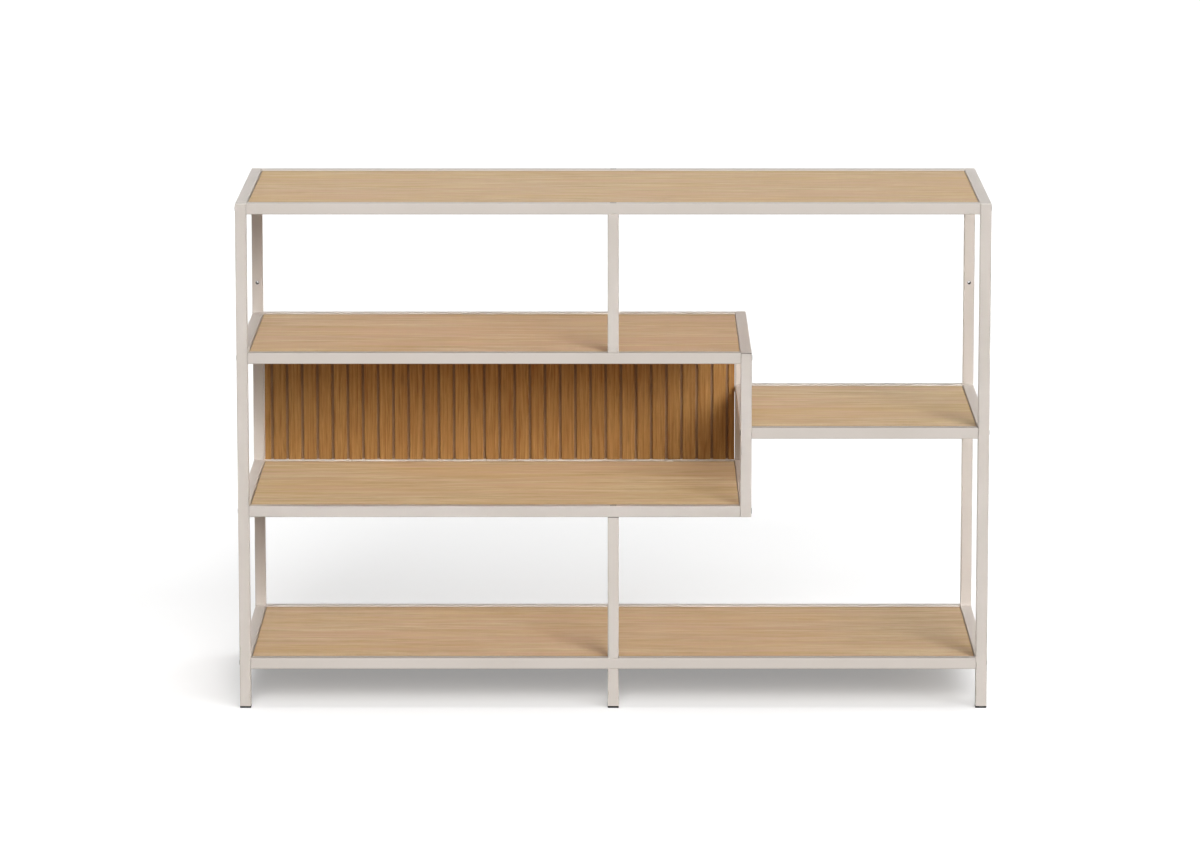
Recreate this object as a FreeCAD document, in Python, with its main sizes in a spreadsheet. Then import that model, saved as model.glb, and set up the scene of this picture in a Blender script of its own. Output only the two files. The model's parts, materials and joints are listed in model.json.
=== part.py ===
"""Staircase bookshelf, in millimetres: Z up, front at -Y, origin on the floor under the middle of the frame.

Two welded side frames and a welded cubby end frame of square steel tube are bolted together by long rails.
Five oak boards lie inside the rails on welded tabs, and a panel of oak slats closes the back of the cubby.
"""
import FreeCAD
import Part
import Sketcher
import math
import os

# Driving dimensions: name, value, what it measures
SIZES = (
    ("total_width", 1350.0, "outside of the left frame to outside of the right frame"),
    ("total_depth", 500.0, "front faces of the front posts to rear faces of the rear posts"),
    ("total_height", 920.0, "floor to the top faces of the top rails"),
    ("cubby_length", 923.5, "outside of the left frame to outside of the cubby end frame"),
    ("bottom_level", 92.0, "floor to the top faces of the bottom rails"),
    ("lower_level", 371.0, "floor to the top faces of the lower rails, under the cubby"),
    ("right_level", 514.0, "floor to the top faces of the right shelf's rails"),
    ("upper_level", 650.0, "floor to the top faces of the upper rails, over the cubby"),
    ("tube_size", 20.0, "outside of the square tube"),
    ("tube_wall", 1.2, "wall of the square tube"),
    ("tube_corner_radius", 1.8, "outer corners of the square tube"),
    ("wall_hole_height", 707.0, "floor to the wall fixing holes in the rear posts"),
    ("wall_hole_diameter", 5.5, "wall fixing holes"),
    ("board_thickness", 15.0, "shelf boards"),
    ("board_recess", 2.5, "top faces of the rails down to a board's top face"),
    ("board_end_gap", 1.5, "board to the side rail at each end"),
    ("board_side_gap", 1.0, "board to the front and rear rails"),
    ("board_edge_chamfer", 0.5, "eased top edges of a board"),
    ("tab_width", 26.0, "welded tab along its rail"),
    ("tab_reach", 18.0, "welded tab out from its rail"),
    ("tab_thickness", 2.0, "welded tab"),
    ("tab_hole_inset", 7.0, "free end of a tab to the middle of its hole"),
    ("tab_hole_diameter", 4.5, "screw hole in a tab"),
    ("tab_end_inset", 90.0, "end of a shelf to the middle of its first tab"),
    ("back_tab_inset", 2.4, "rear faces of the rails to the back panel's tabs, as room for screw heads"),
    ("back_panel_thickness", 5.0, "backing behind the slats"),
    ("slat_thickness", 5.0, "slats on the backing"),
    ("slat_pitch", 28.45, "one slat to the next"),
    ("groove_width", 5.0, "gap between two slats"),
    ("slat_edge_chamfer", 0.6, "eased front edges of a slat"),
    ("back_edge_gap", 1.0, "back panel to the posts at its ends and the rail above it"),
    ("foot_height", 3.5, "visible part of a foot cap"),
    ("foot_corner_chamfer", 1.0, "upright corners of a foot cap"),
    ("foot_edge_chamfer", 0.5, "lower edge of a foot cap"),
    ("foot_plug_depth", 18.0, "plug of a foot cap inside its tube"),
    ("foot_plug_wall", 2.0, "wall of the plug"),
    ("foot_rib_height", 0.8, "rib of the plug out from its wall"),
    ("foot_rib_thickness", 3.0, "rib of the plug"),
    ("foot_rib_rise", 8.0, "top of a foot cap to the rib of its plug"),
    ("plug_clearance", 0.1, "around a plug inside its tube"),
    ("bolt_diameter", 6.0, "shank of the frame bolts"),
    ("bolt_head_diameter", 11.0, "low head of the frame bolts, flat head of the centre post bolts"),
    ("bolt_head_height", 0.9, "low head of the frame bolts"),
    ("bolt_cone_height", 2.0, "flat head of the centre post bolts"),
    ("bolt_reach", 14.0, "bolt past the tube that it holds"),
    ("bolt_clearance", 0.25, "around a bolt in its holes"),
    ("thread_clearance", 0.1, "around a bolt in its threaded plug"),
    ("threaded_plug_length", 16.0, "threaded plug in a tube end"),
    ("cut_overrun", 5.0, "length by which a mitre cut runs past its tube"),
)

# Tabs on each long side of a shelf, and on each long side of the back panel
LONG_SHELF_TAB_COUNT = 3
SHORT_SHELF_TAB_COUNT = 2
BACK_TAB_COUNT = 3

# Small round forms that repeat are drawn with few flats. A rod has its corners on the true circle and a hole
# has its flats there, so that a rod always clears its hole.
ROD_SIDES = 8
HOLE_SIDES = 6
HOLE_CORNER_SHARE = 1 / math.cos(math.pi / HOLE_SIDES)
FLAT_HEAD_TAPER = -45

SAME_PLACE = 1e-6

# Numbers by which a sketch knows its origin and the points of a line or circle
ORIGIN = -1
START_POINT, END_POINT, CENTRE_POINT = range(1, 4)

UPRIGHT = FreeCAD.Rotation()
TO_RIGHT = FreeCAD.Rotation(FreeCAD.Vector(0, 1, 0), 90)
TO_LEFT = FreeCAD.Rotation(FreeCAD.Vector(0, 1, 0), -90)
TO_REAR = FreeCAD.Rotation(FreeCAD.Vector(1, 0, 0), -90)
TO_FRONT = FreeCAD.Rotation(FreeCAD.Vector(1, 0, 0), 90)
DOWNWARD = FreeCAD.Rotation(FreeCAD.Vector(1, 0, 0), 180)
FACE_ABOUT = FreeCAD.Rotation(FreeCAD.Vector(0, 0, 1), 180)


class Size:
    """A length as its number and as the formula of sheet names that gives it."""

    def __init__(self, number, formula):
        self.number = number
        self.formula = formula

    def joined(self, sign, other, number):
        formula = other.formula if isinstance(other, Size) else repr(other)
        return Size(number, "(%s %s %s)" % (self.formula, sign, formula))

    def __add__(self, other):
        return self.joined("+", other, self.number + other.number)

    def __sub__(self, other):
        return self.joined("-", other, self.number - other.number)

    def __neg__(self):
        return self.joined("*", -1, -self.number)

    def __mul__(self, factor):
        return self.joined("*", factor, self.number * factor)

    def __truediv__(self, divisor):
        return self.joined("/", divisor, self.number / divisor)

    __rmul__ = __mul__


def fill_sheet(doc):
    """Writes the driving dimensions to the sheet and gives them back by name."""
    sheet = doc.addObject("Spreadsheet::Sheet", "Sizes")
    named = {}
    for row, (name, number, meaning) in enumerate(SIZES, 1):
        sheet.set("A%d" % row, str(number))
        sheet.setAlias("A%d" % row, name)
        sheet.set("B%d" % row, meaning)
        named[name] = Size(number, "Sizes." + name)
    doc.recompute()
    return named


document = FreeCAD.newDocument("staircase_bookshelf")
S = fill_sheet(document)
ZERO = Size(0.0, "0")
nodes = []

# Places that the pieces share
tube = S["tube_size"]
bore = tube - 2 * S["tube_wall"]
left_face = -S["total_width"] / 2
right_face = S["total_width"] / 2
front_face = -S["total_depth"] / 2
rear_face = S["total_depth"] / 2
cubby_face = left_face + S["cubby_length"]
left_inside = left_face + tube
right_inside = right_face - tube
cubby_inside = cubby_face - tube
front_inside = front_face + tube
rear_inside = rear_face - tube
left_line = left_face + tube / 2
right_line = right_face - tube / 2
cubby_line = cubby_face - tube / 2
front_line = front_face + tube / 2
rear_line = rear_face - tube / 2
top_level = S["total_height"]
bolt_hole = S["bolt_diameter"] + 2 * S["bolt_clearance"]


def bind(thing, name, size):
    """Ties a property to a size's formula."""
    thing.setExpression(name, size.formula)


def place_body(body, turn, x, y, z):
    """Turns a body and ties its place to three sizes."""
    body.Placement = FreeCAD.Placement(FreeCAD.Vector(x.number, y.number, z.number), turn)
    bind(body, "Placement.Base.x", x)
    bind(body, "Placement.Base.y", y)
    bind(body, "Placement.Base.z", z)


def spot(x, y, z, turn):
    """Place of one copy in a group."""
    return FreeCAD.Placement(FreeCAD.Vector(x.number, y.number, z.number), turn)


def new_body(label):
    body = document.addObject("PartDesign::Body", label)
    body.Label = label
    return body


def new_sketch(body, role, lift=ZERO):
    """Sketch on one of the body's own planes, lifted along the plane's normal."""
    sketch = body.newObject("Sketcher::SketchObject", body.Name + "_sketch")
    plane = [feature for feature in body.Origin.OriginFeatures if feature.Role == role][0]
    sketch.AttachmentSupport = [(plane, "")]
    sketch.MapMode = "FlatFace"
    bind(sketch, "AttachmentOffset.Base.z", lift)
    return sketch


def pin(sketch, kind, geometry, point, size):
    """Holds a point of a sketch at a size from the sketch's origin."""
    rule = Sketcher.Constraint(kind, ORIGIN, START_POINT, geometry, point, size.number)
    bind(sketch, "Constraints[%d]" % sketch.addConstraint(rule), size)


def outline(sketch, corners):
    """Closed outline of straight lines through corners given as pairs of sizes."""
    points = [FreeCAD.Vector(x.number, y.number, 0) for x, y in corners]
    sides = [Part.LineSegment(points[i - 1], points[i]) for i in range(len(points))]
    lines = [sketch.addGeometry(side, False) for side in sides]
    for i, line in enumerate(lines):
        sketch.addConstraint(Sketcher.Constraint("Coincident", lines[i - 1], END_POINT, line, START_POINT))
        pin(sketch, "DistanceX", line, START_POINT, corners[i - 1][0])
        pin(sketch, "DistanceY", line, START_POINT, corners[i - 1][1])


def rectangle(sketch, x0, x1, y0, y1):
    outline(sketch, [(x0, y0), (x1, y0), (x1, y1), (x0, y1)])


def square(sketch, side):
    rectangle(sketch, -side / 2, side / 2, -side / 2, side / 2)


def circle(sketch, x, y, diameter):
    """Circle with its centre and diameter tied to sizes."""
    centre = FreeCAD.Vector(x.number, y.number, 0)
    ring = sketch.addGeometry(Part.Circle(centre, FreeCAD.Vector(0, 0, 1), diameter.number / 2), False)
    pin(sketch, "DistanceX", ring, CENTRE_POINT, x)
    pin(sketch, "DistanceY", ring, CENTRE_POINT, y)
    rule = sketch.addConstraint(Sketcher.Constraint("Diameter", ring, diameter.number))
    bind(sketch, "Constraints[%d]" % rule, diameter)


def rod(sketch, x, y, diameter):
    """Section of a small round piece, or of the seat that follows its flats."""
    polygon(sketch, x, y, diameter / 2, ROD_SIDES)


def hole(sketch, x, y, diameter):
    """Section of a small round hole."""
    polygon(sketch, x, y, diameter / 2 * HOLE_CORNER_SHARE, HOLE_SIDES)


def polygon(sketch, x, y, corner_radius, sides):
    """Regular polygon with a flat straight to the right of its middle."""
    corners = []
    for side in range(sides):
        angle = math.tau * (side + 1 / 2) / sides
        corners.append((x + corner_radius * math.cos(angle), y + corner_radius * math.sin(angle)))
    outline(sketch, corners)


def pad(body, sketch, length, taper=0):
    feature = body.newObject("PartDesign::Pad", body.Name + "_pad")
    feature.Profile = sketch
    feature.TaperAngle = taper
    bind(feature, "Length", length)
    document.recompute()
    return feature


def pocket(body, sketch, depth=None, taper=0, upward=True):
    """Cuts right through both ways, or from the sketch to a depth, and proves that it cut something."""
    volume = body.Shape.Volume
    feature = body.newObject("PartDesign::Pocket", body.Name + "_pocket")
    feature.Profile = sketch
    if depth is None:
        feature.Type = "ThroughAll"
        feature.SideType = "Symmetric"
    else:
        feature.Reversed = upward
        feature.TaperAngle = taper
        bind(feature, "Length", depth)
    document.recompute()
    if body.Shape.Volume >= volume:
        raise RuntimeError("a cut in %s removed nothing" % body.Label)


def upright_edges(feature, half):
    """Names of the edges along Z whose X lies half a side from the axis."""
    names = []
    for index, edge in enumerate(feature.Shape.Edges, 1):
        ends = [vertex.Point for vertex in edge.Vertexes]
        run = ends[-1] - ends[0]
        along_z = abs(run.x) < SAME_PLACE and abs(run.y) < SAME_PLACE
        if along_z and abs(abs(ends[0].x) - half.number) < SAME_PLACE:
            names.append("Edge%d" % index)
    return names


def level_edges(feature, height):
    """Names of the edges that lie wholly at one height."""
    names = []
    for index, edge in enumerate(feature.Shape.Edges, 1):
        if all(abs(vertex.Point.z - height.number) < SAME_PLACE for vertex in edge.Vertexes):
            names.append("Edge%d" % index)
    return names


def round_edges(body, feature, names, radius):
    rounding = body.newObject("PartDesign::Fillet", body.Name + "_fillet")
    rounding.Base = (feature, names)
    bind(rounding, "Radius", radius)
    document.recompute()
    return rounding


def ease_edges(body, feature, names, size):
    easing = body.newObject("PartDesign::Chamfer", body.Name + "_chamfer")
    easing.Base = (feature, names)
    bind(easing, "Size", size)
    document.recompute()
    return easing


def drill(body, role, heights):
    """Drills bolt holes through a body at heights along it, square to one of its planes."""
    sketch = new_sketch(body, role)
    for height in heights:
        hole(sketch, ZERO, height, bolt_hole)
    pocket(body, sketch)


def countersink(body, side, height):
    """Seat of a flat head in the wall of a bolt hole. The side factor, 1 or -1, tells which X face has it."""
    sketch = new_sketch(body, "YZ_Plane", side * tube / 2)
    rod(sketch, ZERO, height, S["bolt_head_diameter"] + 2 * S["bolt_clearance"])
    pocket(body, sketch, S["tube_wall"], FLAT_HEAD_TAPER, side < 0)


def cut_mitre(body, side, end, inward):
    """Cuts a tube end at 45 degrees. The side factor, 1 or -1, tells which Y side becomes the short one."""
    over = S["cut_overrun"]
    short = side * (tube / 2 + over)
    sketch = new_sketch(body, "YZ_Plane")
    outside = end - inward * over
    inside = end + inward * (tube + over)
    outline(sketch, [(short, outside), (-short, outside), (short, inside)])
    pocket(body, sketch)


def square_tube(label, turn, length, x, y, z, across=(), through=(), sunk=(), mitre_side=0, mitre_ends=()):
    """Square tube along its own Z, from its first end at x, y, z. Across gives heights of bolt holes along X,
    sunk gives side factors and heights of those with a countersink, through heights of wall holes along Y."""
    body = new_body(label)
    sketch = new_sketch(body, "XY_Plane")
    square(sketch, tube)
    square(sketch, bore)
    stock = pad(body, sketch, length)
    round_edges(body, stock, upright_edges(stock, tube / 2), S["tube_corner_radius"])
    if "first" in mitre_ends:
        cut_mitre(body, mitre_side, ZERO, 1)
    if "last" in mitre_ends:
        cut_mitre(body, mitre_side, length, -1)
    if across:
        drill(body, "YZ_Plane", across)
    for side, height in sunk:
        drill(body, "YZ_Plane", [height])
        countersink(body, side, height)
    for height in through:
        sketch = new_sketch(body, "XZ_Plane")
        circle(sketch, ZERO, height, S["wall_hole_diameter"])
        pocket(body, sketch)
    place_body(body, turn, x, y, z)
    nodes.append(body)


def middle(level):
    """Height of the middle of the rails under a level."""
    return level - tube / 2


def make_corner_posts():
    """Four full-height posts, mitred at the top to their side frame's top rail."""
    length = top_level - S["foot_height"]
    left_levels = (top_level, S["upper_level"], S["lower_level"], S["bottom_level"])
    right_levels = (top_level, S["right_level"], S["bottom_level"])
    wall_hole = (S["wall_hole_height"] - S["foot_height"],)
    for hand, x, levels in (("left", left_line, left_levels), ("right", right_line, right_levels)):
        bolts = [middle(level) - S["foot_height"] for level in levels]
        square_tube(hand + "_front_post", UPRIGHT, length, x, front_line, S["foot_height"],
                    across=bolts, mitre_side=1, mitre_ends=("last",))
        square_tube(hand + "_rear_post", UPRIGHT, length, x, rear_line, S["foot_height"],
                    across=bolts, through=wall_hole, mitre_side=-1, mitre_ends=("last",))


def make_mitred_side_rail(label, x, level, side):
    """Side rail over the whole depth, mitred to the posts at both ends."""
    ends = (tube / 2, S["total_depth"] - tube / 2)
    square_tube(label, TO_REAR, S["total_depth"], x, front_face, middle(level),
                across=ends, mitre_side=side, mitre_ends=("first", "last"))


def make_side_rails():
    """Rails that run from front to rear: mitred at the frames' ends, butted between the posts elsewhere."""
    clear_depth = S["total_depth"] - 2 * tube
    make_mitred_side_rail("left_top_side_rail", left_line, top_level, 1)
    make_mitred_side_rail("right_top_side_rail", right_line, top_level, 1)
    make_mitred_side_rail("cubby_end_top_rail", cubby_line, S["upper_level"], 1)
    make_mitred_side_rail("cubby_end_bottom_rail", cubby_line, S["lower_level"], -1)
    for label, x, level in (
        ("left_upper_side_rail", left_line, S["upper_level"]),
        ("left_lower_side_rail", left_line, S["lower_level"]),
        ("left_bottom_side_rail", left_line, S["bottom_level"]),
        ("right_shelf_side_rail", right_line, S["right_level"]),
        ("right_bottom_side_rail", right_line, S["bottom_level"]),
        ("cubby_end_middle_rail", cubby_line, S["right_level"]),
    ):
        square_tube(label, TO_REAR, clear_depth, x, front_inside, middle(level))


def make_cubby_end_posts():
    """Short posts of the cubby end frame, mitred at both ends."""
    foot = S["lower_level"] - tube
    length = S["upper_level"] - foot
    bolts = [middle(level) - foot for level in (S["upper_level"], S["right_level"], S["lower_level"])]
    for name, y, side in (("front", front_line, 1), ("rear", rear_line, -1)):
        square_tube("cubby_end_%s_post" % name, UPRIGHT, length, cubby_line, y, foot,
                    across=bolts, mitre_side=side, mitre_ends=("first", "last"))


def make_long_rails():
    """Front and rear rails of every shelf. Those that hold a centre post are drilled for its bolt, from above
    with a side factor of -1 or from below with 1."""
    from_above = [(-1, -left_inside)]
    from_below = [(1, -left_inside)]
    for shelf, first, last, level, sunk in (
        ("top", left_inside, right_inside, top_level, from_above),
        ("upper", left_inside, cubby_inside, S["upper_level"], from_below),
        ("lower", left_inside, cubby_inside, S["lower_level"], from_above),
        ("bottom", left_inside, right_inside, S["bottom_level"], ()),
        ("right_shelf", cubby_face, right_inside, S["right_level"], ()),
    ):
        for name, y in (("front", front_line), ("rear", rear_line)):
            label = "%s_%s_rail" % (shelf, name)
            square_tube(label, TO_RIGHT, last - first, first, y, middle(level), sunk=sunk)


def make_centre_posts():
    """Posts in the middle of the width: under the top, under the cubby, and the short legs."""
    for name, foot, head in (
        ("upper_centre_%s_post", S["upper_level"], top_level - tube),
        ("lower_centre_%s_post", S["bottom_level"], S["lower_level"] - tube),
        ("centre_%s_leg", S["foot_height"], S["bottom_level"] - tube),
    ):
        for side, y in (("front", front_line), ("rear", rear_line)):
            square_tube(name % side, UPRIGHT, head - foot, ZERO, y, foot)


def make_feet():
    """Square caps under the six posts, each with a ribbed hollow plug inside its tube."""
    rib_side = bore - 2 * S["plug_clearance"]
    plug_side = rib_side - 2 * S["foot_rib_height"]
    plug_top = S["foot_height"] + S["foot_plug_depth"]
    for label, x, y in (
        ("left_front_foot", left_line, front_line), ("left_rear_foot", left_line, rear_line),
        ("centre_front_foot", ZERO, front_line), ("centre_rear_foot", ZERO, rear_line),
        ("right_front_foot", right_line, front_line), ("right_rear_foot", right_line, rear_line),
    ):
        body = new_body(label)
        sketch = new_sketch(body, "XY_Plane")
        square(sketch, tube)
        cap = pad(body, sketch, S["foot_height"])
        cap = ease_edges(body, cap, upright_edges(cap, tube / 2), S["foot_corner_chamfer"])
        ease_edges(body, cap, level_edges(cap, ZERO), S["foot_edge_chamfer"])
        sketch = new_sketch(body, "XY_Plane", S["foot_height"])
        square(sketch, plug_side)
        pad(body, sketch, S["foot_plug_depth"])
        sketch = new_sketch(body, "XY_Plane", S["foot_height"] + S["foot_rib_rise"])
        square(sketch, rib_side)
        pad(body, sketch, S["foot_rib_thickness"])
        sketch = new_sketch(body, "XY_Plane", S["foot_height"])
        square(sketch, plug_side - 2 * S["foot_plug_wall"])
        pocket(body, sketch, S["foot_plug_depth"])
        if abs(body.Shape.BoundBox.ZMax - plug_top.number) > SAME_PLACE:
            raise RuntimeError("the plug of %s has the wrong length" % label)
        place_body(body, UPRIGHT, x, y, ZERO)
        nodes.append(body)


def tab_places(first, last, count):
    """Middles of the tabs along a shelf, the outer ones at the end inset."""
    start = first + S["tab_end_inset"]
    step = (last - first - 2 * S["tab_end_inset"]) / (count - 1)
    return [start + index * step for index in range(count)]


def make_tab(label):
    """Welded tab with its screw hole: it reaches along Y from its rail and lies on the XY plane."""
    body = new_body(label)
    sketch = new_sketch(body, "XY_Plane")
    rectangle(sketch, -S["tab_width"] / 2, S["tab_width"] / 2, ZERO, S["tab_reach"])
    hole(sketch, ZERO, S["tab_reach"] - S["tab_hole_inset"], S["tab_hole_diameter"])
    pad(body, sketch, S["tab_thickness"])
    return body


def make_shank(label):
    """Body of a bolt with its shank along Z from the XY plane, through a tube and on into its plug."""
    body = new_body(label)
    sketch = new_sketch(body, "XY_Plane")
    rod(sketch, ZERO, ZERO, S["bolt_diameter"])
    pad(body, sketch, tube + S["bolt_reach"])
    return body


def make_low_head_bolt(label):
    """Bolt whose low head stands on the face that it holds, the XY plane."""
    body = make_shank(label)
    sketch = new_sketch(body, "XY_Plane", -S["bolt_head_height"])
    rod(sketch, ZERO, ZERO, S["bolt_head_diameter"])
    pad(body, sketch, S["bolt_head_height"])
    return body


def make_flat_head_bolt(label):
    """Bolt whose tapered head lies flush with the face that it holds, the XY plane."""
    body = make_shank(label)
    sketch = new_sketch(body, "XY_Plane")
    rod(sketch, ZERO, ZERO, S["bolt_head_diameter"])
    pad(body, sketch, S["bolt_cone_height"], FLAT_HEAD_TAPER)
    return body


def make_threaded_plug(label):
    """Square plug welded into a tube end, with its thread drawn as a plain hole."""
    body = new_body(label)
    sketch = new_sketch(body, "XY_Plane")
    square(sketch, bore - 2 * S["plug_clearance"])
    hole(sketch, ZERO, ZERO, S["bolt_diameter"] + 2 * S["thread_clearance"])
    pad(body, sketch, S["threaded_plug_length"])
    return body


def group(label, pattern, places):
    """Copies of one piece at many places, as separate solids of one node."""
    solids = []
    for place in places:
        solid = pattern.Shape.copy()
        solid.Placement = place
        solids.append(solid)
    feature = document.addObject("Part::Feature", label)
    feature.Label = label
    feature.Shape = Part.makeCompound(solids)
    nodes.append(feature)


def make_shelves():
    """Boards inside their rails, and the tabs that carry them."""
    tab = make_tab("board_tab_pattern")
    depth = rear_inside - front_inside
    for name, first, last, level, count in (
        ("top", left_inside, right_inside, top_level, LONG_SHELF_TAB_COUNT),
        ("upper", left_inside, cubby_inside, S["upper_level"], LONG_SHELF_TAB_COUNT),
        ("lower", left_inside, cubby_inside, S["lower_level"], LONG_SHELF_TAB_COUNT),
        ("bottom", left_inside, right_inside, S["bottom_level"], LONG_SHELF_TAB_COUNT),
        ("right_shelf", cubby_face, right_inside, S["right_level"], SHORT_SHELF_TAB_COUNT),
    ):
        underside = level - S["board_recess"] - S["board_thickness"]
        seat = underside - S["tab_thickness"]
        middle_x = (first + last) / 2
        board = new_body(name + "_board")
        half_length = (last - first) / 2 - S["board_end_gap"]
        half_depth = depth / 2 - S["board_side_gap"]
        sketch = new_sketch(board, "XY_Plane")
        rectangle(sketch, -half_length, half_length, -half_depth, half_depth)
        stock = pad(board, sketch, S["board_thickness"])
        ease_edges(board, stock, level_edges(stock, S["board_thickness"]), S["board_edge_chamfer"])
        place_body(board, UPRIGHT, middle_x, ZERO, underside)
        nodes.append(board)
        tab_spots = []
        for x in tab_places(first, last, count):
            tab_spots.append(spot(x, front_inside, seat, UPRIGHT))
            tab_spots.append(spot(x, rear_inside, seat, FACE_ABOUT))
        group(name + "_board_tabs", tab, tab_spots)


def make_slatted_back():
    """Backing panel and slats between the cubby's rear posts, held by tabs on the rear rails."""
    tab_face = rear_face - S["back_tab_inset"]
    panel_face = tab_face - S["tab_thickness"]
    slat_face = panel_face - S["back_panel_thickness"]
    foot = S["lower_level"]
    head = S["upper_level"] - tube
    height = head - foot - S["back_edge_gap"]
    width = cubby_inside - left_inside - 2 * S["back_edge_gap"]
    middle_x = (left_inside + cubby_inside) / 2

    panel = new_body("back_panel")
    sketch = new_sketch(panel, "XY_Plane")
    rectangle(sketch, -width / 2, width / 2, ZERO, height)
    pad(panel, sketch, S["back_panel_thickness"])
    place_body(panel, TO_FRONT, middle_x, panel_face, foot)
    nodes.append(panel)
    make_slats(width, height, middle_x, slat_face, foot)

    tab = make_tab("back_tab_pattern")
    tab_spots = []
    for x in tab_places(left_inside, cubby_inside, BACK_TAB_COUNT):
        tab_spots.append(spot(x, tab_face, foot, TO_FRONT))
        tab_spots.append(spot(x, panel_face, head, TO_REAR))
    group("back_panel_tabs", tab, tab_spots)


def slat_outline(sketch, first, last):
    """Section of one slat, its back on the X axis and its front edges eased."""
    front = -S["slat_thickness"]
    ease = S["slat_edge_chamfer"]
    outline(sketch, [(first, ZERO), (first, front + ease), (first + ease, front), (last - ease, front),
                     (last, front + ease), (last, ZERO)])


def make_slats(width, height, x, y, z):
    """Full slats at an even pitch, centred on the panel, and a narrower slat at each end."""
    pitch = S["slat_pitch"]
    groove = S["groove_width"]
    grooves = int((width.number - 2 * groove.number) / pitch.number) + 1
    first_groove = -pitch * (grooves - 1) / 2
    body = new_body("back_slats")
    sketch = new_sketch(body, "XY_Plane")
    slat_outline(sketch, -width / 2, first_groove - groove / 2)
    slat_outline(sketch, -first_groove + groove / 2, width / 2)
    pad(body, sketch, height)
    sketch = new_sketch(body, "XY_Plane")
    slat_outline(sketch, first_groove + groove / 2, first_groove + pitch - groove / 2)
    slat = pad(body, sketch, height)
    row = body.newObject("PartDesign::LinearPattern", "back_slats_row")
    row.Originals = [slat]
    row.Direction = (sketch, ["H_Axis"])
    row.Occurrences = grooves - 1
    bind(row, "Length", pitch * (grooves - 2))
    body.Tip = row
    document.recompute()
    if len(body.Shape.Solids) != grooves + 1:
        raise RuntimeError("the slatted back has %d slats" % len(body.Shape.Solids))
    place_body(body, UPRIGHT, x, y, z)
    nodes.append(body)


def make_bolts():
    """Bolts of every joint, and beyond the tube that each one holds, the threaded plug that it goes into."""
    low_bolt = make_low_head_bolt("low_head_bolt_pattern")
    flat_bolt = make_flat_head_bolt("flat_head_bolt_pattern")
    plug = make_threaded_plug("threaded_plug_pattern")
    seats = {"left_frame_bolts": [], "right_frame_bolts": [], "cubby_end_bolts": [], "centre_post_bolts": []}
    for y in (front_line, rear_line):
        for level in (top_level, S["upper_level"], S["lower_level"], S["bottom_level"]):
            seats["left_frame_bolts"].append((left_face, y, middle(level), TO_RIGHT))
        for level in (top_level, S["right_level"], S["bottom_level"]):
            seats["right_frame_bolts"].append((right_face, y, middle(level), TO_LEFT))
        for level in (S["upper_level"], S["lower_level"]):
            seats["cubby_end_bolts"].append((cubby_face, y, middle(level), TO_LEFT))
        seats["cubby_end_bolts"].append((cubby_inside, y, middle(S["right_level"]), TO_RIGHT))
        seats["centre_post_bolts"].append((ZERO, y, top_level, DOWNWARD))
        seats["centre_post_bolts"].append((ZERO, y, S["upper_level"] - tube, UPRIGHT))
        seats["centre_post_bolts"].append((ZERO, y, S["lower_level"], DOWNWARD))
    plug_spots = []
    past_tube = spot(ZERO, ZERO, tube, UPRIGHT)
    for label, places in seats.items():
        bolt_spots = [spot(*seat) for seat in places]
        group(label, flat_bolt if label == "centre_post_bolts" else low_bolt, bolt_spots)
        plug_spots.extend(place.multiply(past_tube) for place in bolt_spots)
    group("threaded_plugs", plug, plug_spots)


def check_objects():
    """Stops if anything in the document failed, or a piece has no sound shape."""
    for thing in document.Objects:
        if "Invalid" in thing.State or "Error" in thing.State:
            raise RuntimeError("%s failed: %s" % (thing.Label, thing.State))
    for node in nodes:
        if node.Shape.isNull() or not node.Shape.isValid():
            raise RuntimeError("%s has no sound shape" % node.Label)


def export_nodes():
    os.makedirs("parts", exist_ok=True)
    for node in nodes:
        node.Shape.exportStep("parts/%s.step" % node.Label)


make_corner_posts()
make_side_rails()
make_cubby_end_posts()
make_long_rails()
make_centre_posts()
make_feet()
make_shelves()
make_slatted_back()
make_bolts()
document.recompute()
check_objects()
export_nodes()
print("%d pieces, %d solids" % (len(nodes), sum(len(node.Shape.Solids) for node in nodes)))
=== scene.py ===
"""Staircase bookshelf: coated square tube, oak boards in the frames and a slatted back in the cubby.

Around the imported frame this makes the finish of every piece, the turned bolts and wood screws, the weld
beads, a white studio and the camera. Lengths are in metres, +Z is up and the front faces -Y.
"""

import json
import math

import bpy
import numpy as np
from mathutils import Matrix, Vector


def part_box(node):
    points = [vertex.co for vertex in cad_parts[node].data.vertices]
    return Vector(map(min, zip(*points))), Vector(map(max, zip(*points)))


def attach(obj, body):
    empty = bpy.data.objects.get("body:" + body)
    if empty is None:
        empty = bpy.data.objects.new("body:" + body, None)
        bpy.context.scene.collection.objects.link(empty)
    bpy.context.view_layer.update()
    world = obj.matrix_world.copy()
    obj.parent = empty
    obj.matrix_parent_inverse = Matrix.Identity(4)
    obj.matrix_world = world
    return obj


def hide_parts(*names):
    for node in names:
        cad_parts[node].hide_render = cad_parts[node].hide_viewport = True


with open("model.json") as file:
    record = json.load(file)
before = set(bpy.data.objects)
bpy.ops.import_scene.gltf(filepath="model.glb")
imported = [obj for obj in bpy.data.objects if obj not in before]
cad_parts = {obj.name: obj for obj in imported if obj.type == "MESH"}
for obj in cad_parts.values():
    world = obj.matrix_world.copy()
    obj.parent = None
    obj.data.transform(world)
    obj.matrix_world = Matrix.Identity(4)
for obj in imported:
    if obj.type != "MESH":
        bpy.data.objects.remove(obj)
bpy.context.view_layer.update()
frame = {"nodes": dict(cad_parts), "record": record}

# Bolts
SHANK_RADIUS = 0.003
TIP_CHAMFER = 0.0008
LOW_HEAD_RADIUS = 0.0055
LOW_HEAD_ROUNDING = 2.8
SOCKET_WIDTH = 0.004
SOCKET_DEPTH = 0.0022
SOCKET_RIM = 0.0003
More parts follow.
